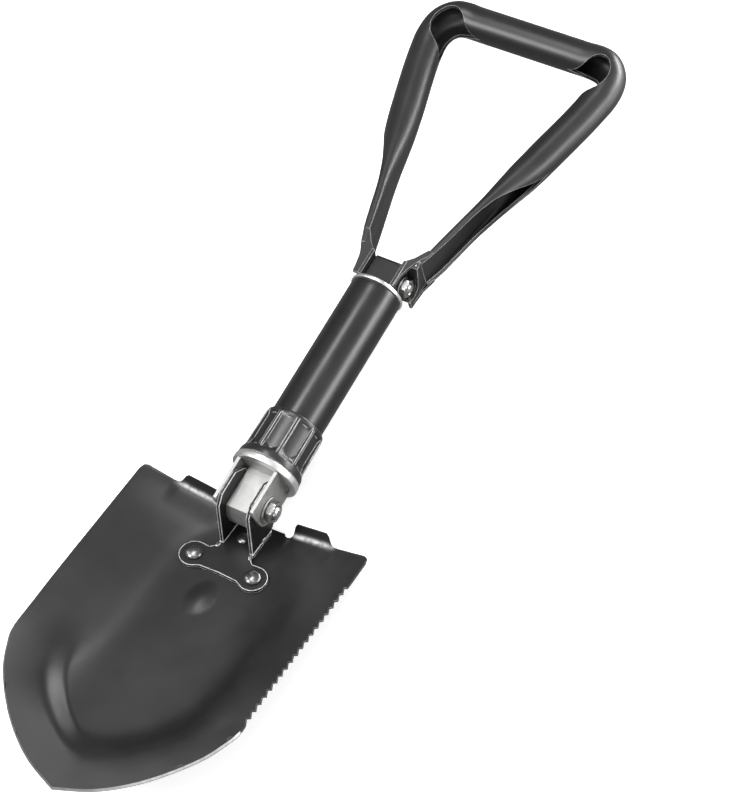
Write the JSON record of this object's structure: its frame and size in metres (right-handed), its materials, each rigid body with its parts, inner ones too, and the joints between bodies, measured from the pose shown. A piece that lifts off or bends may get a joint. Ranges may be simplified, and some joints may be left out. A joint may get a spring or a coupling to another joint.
{
  "type": "folding camp shovel",
  "caption": "Folding camp shovel with a dished, part-serrated pointed blade, screw collar lock, tube shaft and folding D-handle.",
  "frame": {"origin": "centre of the open shovel's bounding box in X and Y, at its lowest point in Z", "axes": "+Y along the shaft from the blade's tip to the grip, +Z out of the blade's digging face, +X to the serrated edge"},
  "size_m": [0.1544, 0.5698, 0.0514],
  "materials": {
    "black_paint": "satin",
    "tube_paint": "satin",
    "collar_plastic": "satin",
    "zinc": "satin",
    "bright_zinc": "bright"
  },
  "bodies": {
    "shaft": {"shaft_tube": "tube_paint", "hinge_yoke": "zinc", "tube_ring": "bright_zinc", "handle_tongue": "black_paint"},
    "blade": {"blade": "black_paint", "blade_bracket": "black_paint", "bracket_rivet_l": "black_paint", "bracket_rivet_r": "black_paint", "bracket_rivet_c": "black_paint", "hinge_bolt_lower": "bright_zinc", "hinge_nut_lower": "bright_zinc", "hinge_washer_lower_r": "bright_zinc", "hinge_washer_lower_l": "bright_zinc"},
    "handle": {"handle_frame": "tube_paint", "hinge_bolt_upper": "bright_zinc", "hinge_nut_upper": "bright_zinc", "hinge_washer_upper_r": "bright_zinc", "hinge_washer_upper_l": "bright_zinc"},
    "lock_ring": {"collar_ring": "zinc"},
    "lock_collar": {"collar": "collar_plastic"}
  },
  "joints": [
    {"name": "blade_fold", "type": "hinge", "parent": "shaft", "child": "blade", "pos_m": [0, -0.08097, 0.02884], "axis": [-1, 0, 0], "range_deg": [0, 165]},
    {"name": "handle_fold", "type": "hinge", "parent": "shaft", "child": "handle", "pos_m": [0, 0.08233, 0.02884], "axis": [-1, 0, 0], "range_deg": [0, 165]},
    {"name": "collar_travel", "type": "slide", "parent": "shaft", "child": "lock_ring", "axis": [0, 1, 0], "range_m": [0, 0.006]},
    {"name": "collar_spin", "type": "hinge", "parent": "lock_ring", "child": "lock_collar", "pos_m": [0, -0.04, 0.02884], "axis": [0, 1, 0], "range_deg": [0, 720]}
  ],
  "couplings": [
    {"joint": "collar_travel", "follows": "collar_spin", "m_per_rad": 0.00047746}
  ]
}
